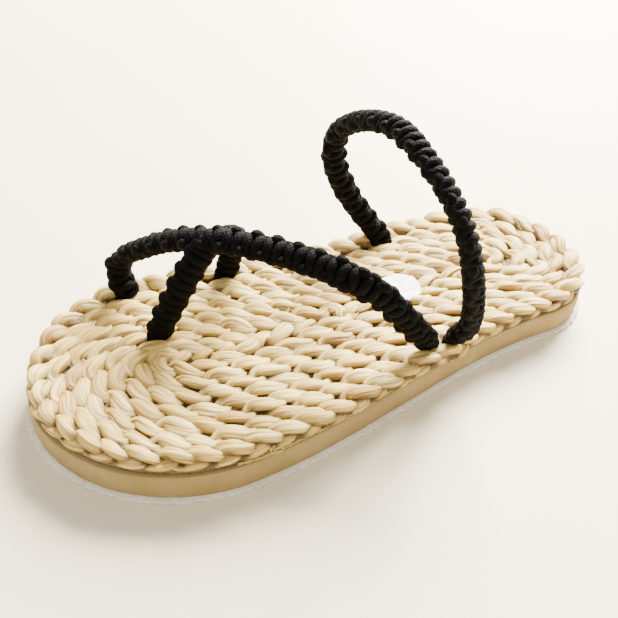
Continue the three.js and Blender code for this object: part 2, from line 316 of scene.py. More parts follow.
# Each pair is a distance out from the outline and a height, from the underside to the top.
outsole_profile = (
    (-3.0, rib_room), (-1.2, rib_room), (-0.8, 0.0), (proud - 0.3, lift * 0.35), (proud, 0.35 + lift),
    (proud, 1.05 + lift), (proud - 0.25, 1.35 + lift), (-0.6, outsole_top),
)
outsole_mesh = sheet_through("outsole_sheet", [ring_at(edge, out, z) for out, z in outsole_profile])
as_piece("outsole_sheet", outsole_mesh, outsole_rubber, "outsole_rubber", "outsole")


# Tread: fine wavy ribs moulded across the underside of the rubber, on which the sandal
# stands. They stop short of the edge and are seen only from below.
rib_pitch = 3.6
rib_ends = 1.0
rib_step = 1.5
rib_bend = 0.7
rib_wave = 9.0
rib_profile = ((-0.9, rib_room + 0.3), (-0.6, 0.0), (0.6, 0.0), (0.9, rib_room + 0.3))
tread_margin = 4.5
tread_ends = 5.0
beside_reach = 2.0


def add_rib(tread, x, low_y, high_y):
    """One rib across the sole, with a flat foot and sloping sides."""
    sections = []
    for y in np.linspace(low_y, high_y, int((high_y - low_y) / rib_step)):
        bend = rib_bend * math.sin(2 * math.pi * y / rib_wave)
        corners = in_frame(np.array([(x + bend + dx, y, z) for dx, z in rib_profile]))
        sections.append([tread.verts.new(corner) for corner in corners])
    for near, far in zip(sections, sections[1:]):
        for i in range(4):
            tread.faces.new((near[i - 1], far[i - 1], far[i], near[i]))
    tread.faces.new(sections[0])
    tread.faces.new(sections[-1][::-1])


tread = bmesh.new()
tread_edge = outline + inward(outline) * tread_margin
for x in np.arange(tread_edge[:, 0].min() + tread_ends, tread_edge[:, 0].max() - tread_ends, rib_pitch):
    beside = tread_edge[np.abs(tread_edge[:, 0] - x) < beside_reach][:, 1]
    add_rib(tread, x, beside.min() + rib_ends, beside.max() - rib_ends)
bmesh.ops.recalc_face_normals(tread, faces=tread.faces)
as_piece("outsole_tread", as_mesh("outsole_tread", tread), outsole_rubber, "outsole_rubber")


# Midsole: a slab of fine beige foam, cut with a knife and left bare at its edge. The edge
# bulges and wanders a little, and it shows the pores, the knife and smears of glue.
def reckoned(tree, operation, first, second=None):
    inputs = {0: first} if second is None else {0: first, 1: second}
    return linked(tree, "ShaderNodeMath", inputs, operation=operation).outputs[0]


def stretched(tree, place, factors):
    return linked(tree, "ShaderNodeVectorMath", {0: place, 1: factors}, operation="MULTIPLY").outputs[0]


beige_foam, foam_tree, foam_shader = new_finish("beige_foam", 0.8)
foam_place = place_on_piece(foam_tree)
foam_cells = linked(foam_tree, "ShaderNodeTexVoronoi", {"Vector": foam_place, "Scale": 900.0}, feature="F1")
foam_pores = foam_cells.outputs["Distance"]
foam_smear = mottle(foam_tree, foam_place, scale=55.0, detail=4.0)
knife_place = stretched(foam_tree, foam_place, (420.0, 420.0, 40.0))
knife_marks = mottle(foam_tree, knife_place, scale=1.0, detail=3.0)
smear_tone = tones(
    foam_tree, foam_smear, (0.30, (0.318, 0.217, 0.070)), (0.50, (0.345, 0.239, 0.083)),
    (0.64, (0.374, 0.268, 0.099)), (0.76, (0.45, 0.352, 0.163)),
)
# Painted shade: the pores are darkened, as if shade lay in them; the glue smears and knife marks are the
# foam's own colour.
pore_shade = tones(foam_tree, foam_pores, (0.06, (0.62, 0.56, 0.48)), (0.22, (1.0, 1.0, 1.0)))
knife_tone = tones(foam_tree, knife_marks, (0.30, (0.93, 0.92, 0.90)), (0.50, (1.0, 1.0, 1.0)))
smear_and_pore_shade_tone = mixed(foam_tree, 1.0, smear_tone, pore_shade, "MULTIPLY")
foam_tone = mixed(foam_tree, 0.7, smear_and_pore_shade_tone, knife_tone, "MULTIPLY")
foam_height = reckoned(foam_tree, "ADD", foam_pores, knife_marks)
finished(foam_tree, foam_shader, foam_tone, foam_height, strength=0.3, depth=0.0002)

foam_top = 12.35
foam_profile = (
    (-2.0, 1.6), (-0.15, 1.6), (0.1, 1.9), (0.35, 4.4), (0.5, 7.0), (0.35, 9.6), (0.05, 11.9),
    (-0.35, foam_top), (-3.0, foam_top),
)
foam_cut = waves(outline_steps, (5, 9, 14, 23), seed=8, height=0.25)
foam_edge = respace(outline, outline_steps)
foam_rings = []
for out, z in foam_profile:
    marks = waves(outline_steps, (60, 83, 111, 150), seed=int(z * 10), height=0.07)
    foam_rings.append(ring_at(foam_edge, out + foam_cut + marks, z))
as_piece("foam_slab", sheet_through("foam_slab", foam_rings), beige_foam, "foam", "midsole")


# Straw mat: one long braid of three strands of dried leaf, stood on its edge and coiled
# round and round to the shape of the sole. Each turn of the coil is a row, and each
# strand shows on top of its row as a plump slanting lobe before it dives under the next.
dried_straw, straw_tree, straw_shader = new_finish("dried_straw", 0.5)
straw_shader.inputs["Specular IOR Level"].default_value = 0.4
weave = linked(straw_tree, "ShaderNodeUVMap", {}, uv_map="weave").outputs["UV"]
along_strand = linked(straw_tree, "ShaderNodeSeparateXYZ", {"Vector": weave}).outputs["Y"]
lobe_number = reckoned(straw_tree, "FLOOR", along_strand)
lobe_chance = linked(straw_tree, "ShaderNodeTexWhiteNoise", {"W": lobe_number}, noise_dimensions="1D")
fibre_skew = linked(straw_tree, "ShaderNodeCombineXYZ", {
    "X": reckoned(straw_tree, "MULTIPLY", along_strand, 3.0),
    "Z": reckoned(straw_tree, "MULTIPLY", lobe_number, 3.7),
})
fibre_inputs = {0: stretched(straw_tree, weave, (42.0, 2.4, 1.0)), 1: fibre_skew.outputs[0]}
fibre_place = linked(straw_tree, "ShaderNodeVectorMath", fibre_inputs, operation="ADD").outputs[0]
fibre = mottle(straw_tree, fibre_place, scale=1.0, detail=4.0, roughness=0.6)
band = mottle(straw_tree, stretched(straw_tree, fibre_place, (0.30, 0.66, 1.0)), scale=1.0, detail=2.0)
leaf_tone = tones(
    straw_tree, lobe_chance.outputs["Value"],
    (0.0, (0.60, 0.36, 0.13)), (0.015, (0.70, 0.46, 0.125)), (0.10, (0.78, 0.56, 0.15)),
    (0.5, (0.87, 0.65, 0.20)), (0.8, (0.95, 0.77, 0.30)), (1.0, (0.80, 0.58, 0.15)),
)
fibre_tone = tones(
    straw_tree, fibre, (0.35, (0.42, 0.29, 0.14)), (0.46, (0.84, 0.78, 0.66)), (0.59, (1.10, 1.08, 1.03)),
)
band_tone = tones(
    straw_tree, band, (0.32, (0.74, 0.60, 0.38)), (0.52, (1.0, 1.0, 1.0)), (0.72, (1.08, 1.07, 1.02)),
)
streaked_tone = mixed(straw_tree, 1.0, leaf_tone, fibre_tone, "MULTIPLY")
banded_tone = mixed(straw_tree, 0.8, streaked_tone, band_tone, "MULTIPLY")
# Painted shade: the straw's colour is mixed toward a deep brown by a point attribute, strongest deep between
# the lobes and in the crease and inner folds of each leaf, where shade falls.
hollow = linked(straw_tree, "ShaderNodeAttribute", {}, attribute_name="low").outputs["Fac"]
hollow_tone = (0.13, 0.076, 0.022, 1)
straw_tone = mixed(straw_tree, reckoned(straw_tree, "POWER", hollow, 1.25), banded_tone, hollow_tone)
straw_height = reckoned(straw_tree, "ADD", fibre, band)
finished(straw_tree, straw_shader, straw_tone, straw_height, strength=0.9, depth=0.0004)

row_pitch = 7.3
row_count = 7
tightest_turn = 3.3
turn_steps = 360
turn_slack = 0.15
core_smoothing = 20
turn_smoothing = 8
strand_period = 32.4
samples_per_period = 30
toe_start = 150.0
toe_reach = 40.0
# How a strand of the leaning rim row and one of the flat rows run: the height of their
# middle, how far they rise over it, fall below it and sway beside it, and their section.
row_shapes = {
    "rim": {
        "centre": 15.75, "crest": 2.7, "dip": 1.2, "crest_sway": 2.1, "dip_sway": 0.9,
        "half_width": 3.7, "half_height": 2.45, "heel_lean": math.radians(12), "toe_lean": math.radians(38),
    },
    "flat": {
        "centre": 15.1, "crest": 1.95, "dip": 0.4, "crest_sway": 2.0, "dip_sway": 2.0,
        "half_width": 3.5, "half_height": 2.15, "heel_lean": 0.0, "toe_lean": 0.0,
    },
}
# What differs from lobe to lobe: the number of its own draws, and how far it may stray.
lobe_chances = {
    "fat": (0, 0.10), "across": (1, 0.35), "upward": (2, 0.35), "roll": (3, 0.30),
    "fold": (4, 3.1), "ridge": (5, 3.1), "crease": (6, 0.8), "crease_depth": (7, 0.08),
}
root_room = 4.8
root_push = 2.0
root_margin = 3
root_fade = 1.4
strap_roots = (
    {"x": 195.6, "y": -48.6, "width": 11}, {"x": 95.6, "y": 29.6, "width": 8},
    {"x": 190.4, "y": -18.6, "width": 12}, {"x": 153.4, "y": -44.6, "width": 11},
    {"x": 86.0, "y": 29.4, "width": 8}, {"x": 77.8, "y": -40.6, "width": 11},
)


def loop_length(loop):
    return np.hypot(*(np.roll(loop, -1, 0) - loop).T).sum()


def smoothed(loop, passes):
    for _ in range(passes):
        loop = (np.roll(loop, -1, 0) + 2 * loop + np.roll(loop, 1, 0)) / 4
    return loop


def coil_turn(depth):
    """The middle line of one turn of the coil, at a depth inside the outline."""
    deep = depth + tightest_turn
    moved = outline + inward(outline) * deep
    near = np.sqrt(((moved[:, None, :] - outline[None, ::3, :]) ** 2).sum(axis=2)).min(axis=1)
    kept = moved[near > deep - turn_slack]
    core = smoothed(respace(kept, turn_steps), core_smoothing)
    return smoothed(respace(core - inward(core) * tightest_turn, turn_steps), turn_smoothing)


def unit(rows):
    return rows / np.maximum(np.linalg.norm(rows, axis=1), 1e-9)[:, None]


def lobe_draw(seed, count, spread):
    draw = random.Random(seed)
    return np.array([draw.uniform(-spread, spread) for _ in range(count)])


def eased(share):
    return share * share * (3 - 2 * share)


def clear_of_roots(points):
    """Moves the points that lie in a strap's slot to the sides of it."""
    for root in strap_roots:
        away = points[:, :2] - np.array([root["x"], root["y"]])
        near = np.clip(root_fade - np.abs(away[:, 0]) / (root["width"] / 2 + root_margin), 0, 1)
        gap = np.abs(away[:, 1])
        push = np.clip(root_room - gap, 0, root_push) * near * (gap < root_room)
        points[:, 1] += np.sign(away[:, 1]) * push
    return points


def strand_axes(points, upright, closed, roll):
    """The side and upper axes along a strand, square to its run and rolled about it."""
    if closed:
        run = unit(np.roll(points, -1, 0) - np.roll(points, 1, 0))
    else:
        run = unit(np.gradient(points, axis=0))
    side = unit(np.cross(upright, run))
    up = np.cross(run, side)
    cos = np.cos(roll)[:, None]
    sin = np.sin(roll)[:, None]
    return side * cos + up * sin, up * cos - side * sin


# Leaf folded along the strand: sharp folds, fine ridges between them and one deep crease.
# The section has most of its points on the upper side, the side that shows.
section_turn = np.radians(np.concatenate((np.linspace(-20, 200, 27), np.linspace(200, 340, 7)[1:-1])))
# The crease and the inner part of each fold are also darkened with painted shade.
folds = {"count": 4, "twist": 4.6, "depth": 0.085, "shade_from": 0.72}
ridges = {"count": 11, "twist": 5.0, "depth": 0.012}
crease = {"width": 0.15, "depth": 0.09, "slant": 1.4, "shade_strength": 0.42}


def leaf_section(wide, tall, v, chance):
    """A strand's section, its outline folded like crushed leaf, and the painted shade in its crease and inner
    folds.
    """
    turn = section_turn[None, :]
    along = v[:, None]
    crease_at = np.pi / 2 + chance("crease")[:, None] + crease["slant"] * (along % 1 - 0.5)
    crease_depth = crease["depth"] + chance("crease_depth")[:, None]
    in_crease = np.exp(-(((turn - crease_at) / crease["width"]) ** 2))
    fold_wave = folds["count"] * turn + folds["twist"] * along + chance("fold")[:, None]
    fold = np.arcsin(np.sin(fold_wave)) * 2 / np.pi
    ridge = np.cos(ridges["count"] * turn - ridges["twist"] * along + chance("ridge")[:, None])
    swell = 1 + folds["depth"] * fold + ridges["depth"] * ridge - crease_depth * in_crease
    section = np.stack((wide[:, None] * np.cos(turn) * swell, tall[:, None] * np.sin(turn) * swell), -1)
    return section, crease["shade_strength"] * in_crease + np.clip(-fold - folds["shade_from"], 0, 1)


# A strand is widest just before its crest and again just before its dip, and slimmest
# between them, where it dives. It is tallest just after its crest, and flat on the foam.
slimmest = 0.56
crest_swell = 0.48
dip_swell = 0.34
swell_early = math.radians(14)
mean_height = 0.88
height_swell = 0.16
tallest_at = math.radians(120)
phase_wander = 0.16
steep_rise = 0.08
steep_sway = 0.10
roll_swing = 0.25
mat_floor = foam_top - 0.15


def strand_tube(path, inner, strand, seed, closed, kind, sunk=0.0, scale=1.0):
    """Rings of points along one strand, which rises to a lobe once in each period."""
    row = row_shapes[kind]
    count = len(path)
    periods = count / samples_per_period
    index = np.arange(count) / samples_per_period
    wander = phase_wander * np.sin(2 * np.pi * (index * 3 / periods) + seed)
    phase = 2 * np.pi * (index + strand / 3) + wander
    v = phase / (2 * np.pi) + 0.25
    lobe = np.floor(v).astype(int)
    if closed:
        lobe = lobe % round(periods)

    def chance(what):
        number, spread = lobe_chances[what]
        return lobe_draw(seed + number, lobe.max() + 2, spread)[lobe]

    rise = np.sin(phase) + steep_rise * np.sin(2 * phase)
    sway = -np.sin(2 * phase) - steep_sway * np.sin(4 * phase)
    shown = np.clip(0.5 + 0.75 * rise, 0, 1)
    upward = np.where(rise > 0, row["crest"] * rise, row["dip"] * rise) + chance("upward") * shown
    across = np.where(rise > 0, row["crest_sway"], row["dip_sway"]) * sway + chance("across") * shown

    at_toe = eased(np.clip((path[:, :1] - toe_start) / toe_reach, 0, 1))
    lean = row["heel_lean"] + (row["toe_lean"] - row["heel_lean"]) * at_toe
    level_in = np.column_stack((inner, np.zeros(count)))
    flat_up = np.array([0.0, 0.0, 1.0])
    upright = level_in * np.sin(lean) + flat_up * np.cos(lean)
    sidelong = level_in * np.cos(lean) - flat_up * np.sin(lean)
    middle = np.column_stack((path, np.full(count, row["centre"]) - sunk))
    points = clear_of_roots(middle + upright * upward[:, None] + sidelong * across[:, None] * scale)
    roll = chance("roll") * shown + roll_swing * np.sin(phase + 1.0)
    side, up = strand_axes(points, upright, closed, roll)

    arch = np.sin(phase + swell_early)
    plump = slimmest + crest_swell * np.maximum(arch, 0) + dip_swell * np.maximum(-arch, 0)
    height = mean_height + height_swell * np.cos(phase - tallest_at)
    fat = 1 + chance("fat") * shown
    wide = scale * row["half_width"] * plump * fat
    tall = scale * row["half_height"] * height * fat
    section, crease_shade = leaf_section(wide, tall, v, chance)
    rings = points[:, None, :] + side[:, None, :] * section[..., :1] + up[:, None, :] * section[..., 1:]
    rings[..., 2] = np.maximum(rings[..., 2], mat_floor)

    own = rings - middle[:, None, :]
    outward = unit(flat_up * 0.8 - level_in * 0.6)
    beside = unit(flat_up * 0.6 + level_in * 0.8)
    walked = np.broadcast_to((np.arange(count) * strand_period / samples_per_period)[:, None], own.shape[:2])
    return {
        "rings": rings, "closed": closed, "v": v + 40 * strand + 200 * (seed // 10), "crease_shade": crease_shade,
        "tipped": kind == "rim", "outward": (own * outward[:, None, :]).sum(axis=2),
        "spot": np.stack((walked, (own * beside[:, None, :]).sum(axis=2)), -1),
    }


drift_height = 0.26
rim_drift = 0.4
rim_out = 0.6
rim_out_until = 170
rim_out_fade = 30
tuck_depth = 3.2
tuck_reach = 0.25


def row_tubes(loop, seed, kind):
    """The three strands of one turn of the coil. The turn wanders a little, less at the rim."""
    periods = max(2, round(loop_length(loop) / strand_period))
    path = respace(loop[::-1], periods * samples_per_period)
    inner = -inward(path)
    share = np.arange(len(path)) / len(path)
    drift = sum(drift_height * np.sin(2 * np.pi * (wave * share + 0.37 * seed * wave)) for wave in (3, 5, 8))
    path = path + inner * drift[:, None] * (rim_drift if kind == "rim" else 1)
    if kind == "rim":
        path = path - inner * rim_out * np.clip((rim_out_until - path[:, :1]) / rim_out_fade, 0, 1)
    return [strand_tube(path, inner, strand, seed * 10 + strand * 3, True, kind) for strand in range(3)]


def short_row(start, end, periods, seed, scale):
    """The three strands of a straight row in the middle of the coil, its ends tucked down."""
    share = np.linspace(0, 1, round(periods * samples_per_period))
    path = np.array(start) + (np.array(end) - np.array(start)) * share[:, None]
    run = unit(np.gradient(path, axis=0))
    inner = np.column_stack((-run[:, 1], run[:, 0]))
    tuck = tuck_depth * np.clip(1 - np.minimum(share, 1 - share) * periods / tuck_reach, 0, 1) ** 2
    return [
        strand_tube(path, inner, strand, seed * 10 + strand * 3, False, "flat", tuck, scale)
        for strand in range(3)
    ]


# Depths below the neighbouring crests at which the painted shade between the lobes starts and becomes full.
relief_cell = 0.6
hollow_from = 0.25
hollow_full = 1.8


def hollow_depth(spots, height):
    """How far each point lies below the highest points close to it, and the map of those."""
    corner = spots.min(axis=0) - 4 * relief_cell
    cells = ((spots - corner) / relief_cell).astype(int)
    top = np.full(cells.max(axis=0) + 5, height.min())
    np.maximum.at(top, (cells[:, 0], cells[:, 1]), height)
    for _ in range(3):
        top = np.maximum.reduce([top] + [np.roll(top, step, axis) for axis in (0, 1) for step in (-1, 1)])
    return top[cells[:, 0], cells[:, 1]] - height, top, corner


def flattened(tubes, part, width):
    return np.vstack([tube[part].reshape(-1, width) for tube in tubes])


def shade_hollows(tubes):
    """Sets each point's painted shade, stronger the deeper it lies between its neighbours and in the crease
    and inner folds of its leaf, and gives the mat's relief.
    """
    every = flattened(tubes, "rings", 3)
    depth, relief, corner = hollow_depth(every[:, :2], every[:, 2])
    rim = [tube for tube in tubes if tube["tipped"]]
    rim_depth = hollow_depth(flattened(rim, "spot", 2), flattened(rim, "outward", 1)[:, 0])[0]
    first = rim_first = 0
    for tube in tubes:
        shape = tube["rings"].shape[:2]
        count = shape[0] * shape[1]
        own = depth[first:first + count].reshape(shape)
        first += count
        if tube["tipped"]:
            own = np.minimum(own, rim_depth[rim_first:rim_first + count].reshape(shape))
            rim_first += count
        # Painted shade: darker the deeper the point lies below its neighbours, and darker again in the crease
        # and inner folds.
        hollow = np.clip((own - hollow_from) / hollow_full, 0, 1)
        tube["low"] = 1 - (1 - hollow) * (1 - tube["crease_shade"])
    return relief, corner


def tube_mesh(name, tubes):
    """One mesh of tubes, with a map round and along each, and the painted shade of their hollows and creases.
    """
    verts, faces, maps, lows = [], [], [], []
    first = 0
    for tube in tubes:
        count, around = tube["rings"].shape[:2]
        steps = count if tube["closed"] else count - 1
        i, j = np.meshgrid(np.arange(steps), np.arange(around), indexing="ij")
        next_i = (i + 1) % count
        next_j = (j + 1) % around
        corners = (i * around + j, i * around + next_j, next_i * around + next_j, next_i * around + j)
        v = np.append(tube["v"], tube["v"][-1] + tube["v"][1] - tube["v"][0])
        corner_u = np.stack((j, j + 1, j + 1, j), -1) / around
        corner_v = np.stack((v[i], v[i], v[i + 1], v[i + 1]), -1)
        verts.append(tube["rings"].reshape(-1, 3))
        lows.append(tube["low"].reshape(-1))
        faces.extend((np.stack(corners, -1).reshape(-1, 4) + first).tolist())
        maps.append(np.stack((corner_u, corner_v), -1).reshape(-1, 2))
        if not tube["closed"]:
            for ring, order in ((0, -1), (count - 1, 1)):
                start = first + ring * around
                faces.append(list(range(start, start + around))[::order])
                maps.append(np.column_stack((np.arange(around) / around, np.full(around, v[ring]))))
        first += count * around
    mesh = bpy.data.meshes.new(name)
    mesh.from_pydata(in_frame(np.vstack(verts)).tolist(), [], faces)
    mesh.uv_layers.new(name="weave").data.foreach_set("uv", np.vstack(maps).reshape(-1))
    mesh.attributes.new("low", "FLOAT", "POINT").data.foreach_set("value", np.concatenate(lows))
    mesh.polygons.foreach_set("use_smooth", [True] * len(mesh.polygons))
    return mesh


row_sets = {
    "straw_rim_row": (0,), "straw_outer_rows": (1, 2),
    "straw_middle_rows": (3, 4), "straw_inner_rows": (5, 6),
}
short_rows = (
    {"start": (66, -9.4), "end": (122, -3.3), "periods": 1.9, "seed": 9, "scale": 0.85},
    {"start": (41, -10.8), "end": (76, -9.6), "periods": 1.1, "seed": 12, "scale": 0.62},
    {"start": (128, -2.6), "end": (161.5, -1.4), "periods": 1.15, "seed": 10, "scale": 1.0},
    {"start": (162, -1.5), "end": (196, -5.2), "periods": 1.3, "seed": 11, "scale": 0.8},
)
turns = [coil_turn(row_pitch * (row + 0.5)) for row in range(row_count)]
set_tubes = {
    name: [tube for row in rows for tube in row_tubes(turns[row], row + 1, "flat" if row else "rim")]
    for name, rows in row_sets.items()
}
for row in short_rows:
    set_tubes["straw_inner_rows"] += short_row(**row)
mat_relief, relief_corner = shade_hollows([tube for tubes in set_tubes.values() for tube in tubes])
for name, tubes in set_tubes.items():
    as_piece(name, tube_mesh(name, tubes), dried_straw, "straw", "straw_mat")


# Loose ends: four ends of leaf that have sprung out of the braid, and the two-ply thread
# that lies along the outer edge of the mat, caught in a small knot beside the forefoot.
leaf_steps = 10
leaf_thick = 0.35
leaf_bend = 0.7
loose_leaves = (
    {"root": (145.5, -8.5, 17.9), "heading": 190, "length": 9.5, "lift": 1.6, "width": 2.8},
    {"root": (128.5, -5.5, 18.1), "heading": 190, "length": 9.5, "lift": 1.7, "width": 3.0},
    {"root": (112.5, -16.0, 18.0), "heading": 205, "length": 8.5, "lift": 1.0, "width": 2.6},
    {"root": (118.5, 1.0, 17.8), "heading": 165, "length": 7.0, "lift": 1.1, "width": 2.2},
)
thread_inset = 0.5
thread_start = 58
thread_end = 186
thread_turns = 20
thread_height = 0.75
thread_sway = 0.3
thread_hop = 0.35
ply_offset = 0.25
ply_size = {"width": 0.75, "thick": 0.6}
knot_middle = (169.5, 50.6, foam_top + 2.0)
knot_reach = (1.9, 0.5, 1.4)
knot_drift = (0.2, -0.03)
knot_ply = {"width": 0.8, "thick": 0.7}
thin_sides = 12
point_slope = 2.4
edge_curl = 0.12
thin_ripple = 0.2


def thin_tube(path, width, thick, seed, pointed=False):
    """A thin strip of leaf or a thread along a path, with rings of points around it."""
    run = unit(np.gradient(path, axis=0))
    side = unit(np.cross(np.array([0.0, 0.0, 1.0]), run))
    up = np.cross(run, side)
    share = np.linspace(0, 1, len(path))
    fall = np.minimum(1, (1.02 - share) * point_slope) if pointed else np.ones(len(path))
    turn = np.linspace(0, 2 * np.pi, thin_sides, endpoint=False)
    across = (width / 2 * np.cos(turn))[None, :, None]
    above = (thick / 2 * np.sin(turn) + width * edge_curl * np.cos(turn) ** 2)[None, :, None]
    rings = path[:, None, :] + fall[:, None, None] * (side[:, None, :] * across + up[:, None, :] * above)
    rings[..., 2] += thin_ripple * np.sin(7 * share + seed)[:, None]
    return {"rings": rings, "closed": False, "v": 900 + seed + 0.8 * share, "low": np.zeros(rings.shape[:2])}


def sprung_leaf(number, root, heading, length, lift, width):
    share = np.linspace(0, 1, leaf_steps + 1)
    bend = math.radians(heading) + leaf_bend * share
    steps = np.column_stack((np.cos(bend), np.sin(bend))) * length / leaf_steps
    flat = np.array(root[:2]) + np.vstack(([0, 0], np.cumsum(steps[:-1], axis=0)))
    return thin_tube(np.column_stack((flat, root[2] + lift * share ** 2)), width, leaf_thick, number, True)


def edge_thread(ply):
    beside_rim = outline + inward(outline) * thread_inset
    x, y = beside_rim.T
    on_side = beside_rim[(x > thread_start) & (x < thread_end) & (y > 0)]
    on_side = on_side[np.argsort(on_side[:, 0])]
    share = np.linspace(0, 1, len(on_side))
    sweep = 2 * np.pi * share * thread_turns + ply * np.pi
    path = np.column_stack((
        on_side[:, 0], on_side[:, 1] + ply_offset * np.cos(sweep) + thread_sway * np.sin(share * 23),
        foam_top + thread_height + ply_offset * np.sin(sweep) + thread_hop * np.sin(share * 17) ** 2,
    ))
    return thin_tube(path, seed=20 + ply, **ply_size)


def thread_knot():
    x, y, z = knot_middle
    long, wide, high = knot_reach
    turn = np.linspace(0, 4 * np.pi, 40)
    path = np.column_stack((
        x + long * np.cos(turn) + knot_drift[0] * turn, y + wide * np.sin(turn / 2) + knot_drift[1] * turn,
        z + high * np.sin(turn),
    ))
    return thin_tube(path, seed=22, **knot_ply)


loose_tubes = [sprung_leaf(number, **leaf) for number, leaf in enumerate(loose_leaves)]
loose_tubes += [edge_thread(0), edge_thread(1), thread_knot()]
as_piece("straw_loose_ends", tube_mesh("straw_loose_ends", loose_tubes), dried_straw, "straw")


# Inside of the mat: a sheet under the lobes, where the leaf lies stitched to the foam. Its deep
# brown is painted shade, the shadow down in the gaps between the strands, not the leaf's own colour.
underside_shade_paint, underside_shade_tree, underside_shade_shader = new_finish("straw_underside_shade", 0.9)
underside_shade_mottle = mottle(underside_shade_tree, place_on_piece(underside_shade_tree), scale=600.0, detail=3.0)
# Painted shade: a deep, mottled brown for the shadow in the gaps between the strands.
underside_shade_tone = tones(underside_shade_tree, underside_shade_mottle, (0.35, (0.12, 0.07, 0.026)), (0.65, (0.22, 0.135, 0.055)))
finished(underside_shade_tree, underside_shade_shader, underside_shade_tone, underside_shade_mottle, strength=0.6, depth=0.0005)
underside_margin = 1.6
underside_profile = ((0.0, 12.3), (0.0, 14.2), (-2.0, 15.6))
underside_edge = respace(outline + inward(outline) * underside_margin, 240)
underside_mesh = sheet_through("straw_underside_shade", [ring_at(underside_edge, out, z) for out, z in underside_profile])
as_piece("straw_underside_shade", underside_mesh, underside_shade_paint, "straw", "straw_mat")


# Sticker: a round of white paper stuck over the rows before the heel, where the long strap
# hides a part of it from the camera. It follows the lobes below it, and its face is blank.
sticker_paper, paper_tree, paper_shader = new_finish("sticker_paper", 0.55)
paper_grain = mottle(paper_tree, place_on_piece(paper_tree), scale=1500.0, detail=4.0)
paper_tone = tones(paper_tree, paper_grain, (0.3, (0.88, 0.86, 0.83)), (0.6, (0.97, 0.96, 0.95)))
finished(paper_tree, paper_shader, paper_tone, paper_grain, strength=0.3, depth=0.00015)

sticker_middle = (88.0, -7.0)
sticker_radius = 9.3
sticker_thick = 0.16
sticker_level = 19.2
press = 0.7
sticker_gap = 0.25
sticker_curl = 0.35
sticker_corners = 64
sticker_steps = np.linspace(0.15, sticker_radius, 22)
calm_passes = 5
calm_relief = mat_relief
for _ in range(calm_passes):
    calm_relief = sum(np.roll(calm_relief, step, axis) for axis in (0, 1) for step in (-1, 0, 1)) / 6


def sticker_ring(radius, lowered):
    """A ring of the sticker, pressed on the calmed relief of the mat and lifting at its edge."""
    turn = np.linspace(0, 2 * np.pi, sticker_corners, endpoint=False)
    x = sticker_middle[0] + radius * np.cos(turn)
    y = sticker_middle[1] + radius * np.sin(turn)
    cells = ((np.column_stack((x, y)) - relief_corner) / relief_cell).astype(int)
    under = calm_relief[cells[:, 0], cells[:, 1]] * press + sticker_level * (1 - press)
    lift = sticker_gap + sticker_curl * (radius / sticker_radius) ** 6 * np.sin(turn * 2 + 1)
    return np.column_stack((x, y, under + lift - lowered))


sticker_rings = [sticker_ring(radius, sticker_thick) for radius in sticker_steps]
sticker_rings += [sticker_ring(radius, 0.0) for radius in sticker_steps[::-1]]
as_piece("paper_sticker", sheet_through("paper_sticker", sticker_rings), sticker_paper, "paper")


# Straps: two black cords knotted over a core in flat square knots. One cord makes the bars
# on the face, the other the bars on the back, and each turns over the other at the edges,
# left and right by turns, which gives both edges their row of bumps.
black_cord, cord_tree, cord_shader = new_finish("black_cord", 0.75)
cord_shader.inputs["Specular IOR Level"].default_value = 0.07
cord_place = place_on_piece(cord_tree)
cord_map = linked(cord_tree, "ShaderNodeUVMap", {}, uv_map="weave").outputs["UV"]
cord_parts = linked(cord_tree, "ShaderNodeSeparateXYZ", {"Vector": cord_map})
plait_around = 8.0
plait_along = 9.0
plaits = []
for lean in (1, -1):
    around = reckoned(cord_tree, "MULTIPLY", cord_parts.outputs["X"], plait_around * 2 * math.pi)
    along = reckoned(cord_tree, "MULTIPLY", cord_parts.outputs["Y"], lean * plait_along * 2 * math.pi)
    plaits.append(reckoned(cord_tree, "SINE", reckoned(cord_tree, "ADD", around, along)))
plait = reckoned(cord_tree, "MAXIMUM", plaits[0], plaits[1])
fuzz = mottle(cord_tree, cord_place, scale=2500.0, detail=3.0)
wear = mottle(cord_tree, cord_place, scale=160.0, detail=3.0)
wear_tone = tones(cord_tree, wear, (0.35, (0.0013, 0.0012, 0.0011)), (0.65, (0.0024, 0.0021, 0.0018)))
fuzz_tone = tones(cord_tree, fuzz, (0.40, (0.75, 0.75, 0.75)), (0.62, (1.35, 1.32, 1.28)))
cord_tone = mixed(cord_tree, 1.0, wear_tone, fuzz_tone, "MULTIPLY")
cord_height = reckoned(cord_tree, "ADD", plait, fuzz)
finished(cord_tree, cord_shader, cord_tone, cord_height, strength=0.7, depth=0.00012)

